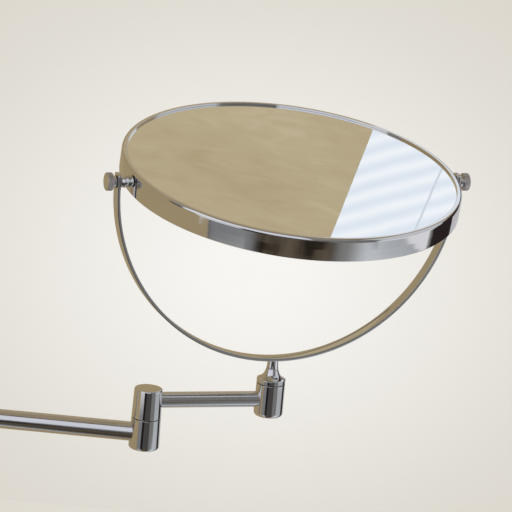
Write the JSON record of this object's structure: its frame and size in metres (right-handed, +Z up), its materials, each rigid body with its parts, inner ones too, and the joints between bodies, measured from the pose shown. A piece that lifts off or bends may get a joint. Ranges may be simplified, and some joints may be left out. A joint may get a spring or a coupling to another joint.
{
  "type": "wall magnifying mirror",
  "caption": "Round two-sided mirror in a half-ring yoke on a folding double arm with a round wall plate; flat glass one side, dished magnifying glass the other.",
  "frame": {"origin": "centre of the wall plate's back face, on the wall", "axes": "+X out of the wall along the long arm at rest, +Y to the right of somebody who faces the wall, +Z up"},
  "size_m": [0.3761, 0.2034, 0.2308],
  "materials": {
    "chrome": "polished chrome plate",
    "satin_chrome": "chrome plate, satin round the side, polished on the end",
    "steel": "zinc-plated, as turned",
    "nylon": "black nylon, satin",
    "mirror_glass": "silvered glass",
    "board": "dense dark foam board, matt"
  },
  "bodies": {
    "wall_bracket": {"wall_plate": "steel", "wall_cover": "chrome", "cover_grub_screw": "steel", "wall_stem": "chrome", "stem_bolt": "steel", "wall_knuckle": "chrome", "wall_bush": "nylon", "wall_bottom_cap": "chrome"},
    "long_arm": {"wall_pin": "steel", "arm_wall_knuckle": "chrome", "wall_spring_washer": "steel", "wall_retaining_screw": "steel", "long_arm_tube": "chrome", "elbow_lower_knuckle": "chrome", "elbow_bush": "nylon", "elbow_bottom_cap": "chrome"},
    "short_arm": {"elbow_pin": "steel", "elbow_upper_knuckle": "chrome", "elbow_spring_washer": "steel", "elbow_retaining_screw": "steel", "short_arm_tube": "chrome", "swivel_barrel": "chrome", "swivel_bush": "nylon", "swivel_bottom_cap": "chrome"},
    "yoke": {"yoke_band": "chrome", "yoke_neck": "chrome", "swivel_spring_washer": "steel", "swivel_retaining_screw": "steel", "ear_bushes": "nylon", "knob_washers": "nylon"},
    "mirror_head": {"mirror_rim": "chrome", "front_glass": "mirror_glass", "backing_disc": "board", "spacer_ring": "board", "magnifying_glass": "mirror_glass", "back_ring": "chrome", "pivot_bosses": "chrome"},
    "left_knob": {"left_knob": "satin_chrome"},
    "right_knob": {"right_knob": "satin_chrome"}
  },
  "joints": [
    {"name": "wall_swing", "type": "hinge", "parent": "wall_bracket", "child": "long_arm", "pos_m": [0.045, 0, 0], "axis": [0, 0, 1], "range_deg": [-90, 90]},
    {"name": "elbow_swing", "type": "hinge", "parent": "long_arm", "child": "short_arm", "pos_m": [0.195, 0, 0.03], "axis": [0, 0, 1], "continuous": true},
    {"name": "yoke_swivel", "type": "hinge", "parent": "short_arm", "child": "yoke", "pos_m": [0.26733, 0.02491, 0.05], "axis": [0, 0, 1], "continuous": true},
    {"name": "mirror_tilt", "type": "hinge", "parent": "yoke", "child": "mirror_head", "pos_m": [0.26733, 0.02491, 0.1759], "axis": [0.9304, 0.3665, 0], "continuous": true},
    {"name": "left_knob_turn", "type": "hinge", "parent": "yoke", "child": "left_knob", "pos_m": [0.26733, 0.02491, 0.1759], "axis": [0.9304, 0.3665, 0], "continuous": true},
    {"name": "right_knob_turn", "type": "hinge", "parent": "yoke", "child": "right_knob", "pos_m": [0.26733, 0.02491, 0.1759], "axis": [0.9304, 0.3665, 0], "continuous": true}
  ]
}
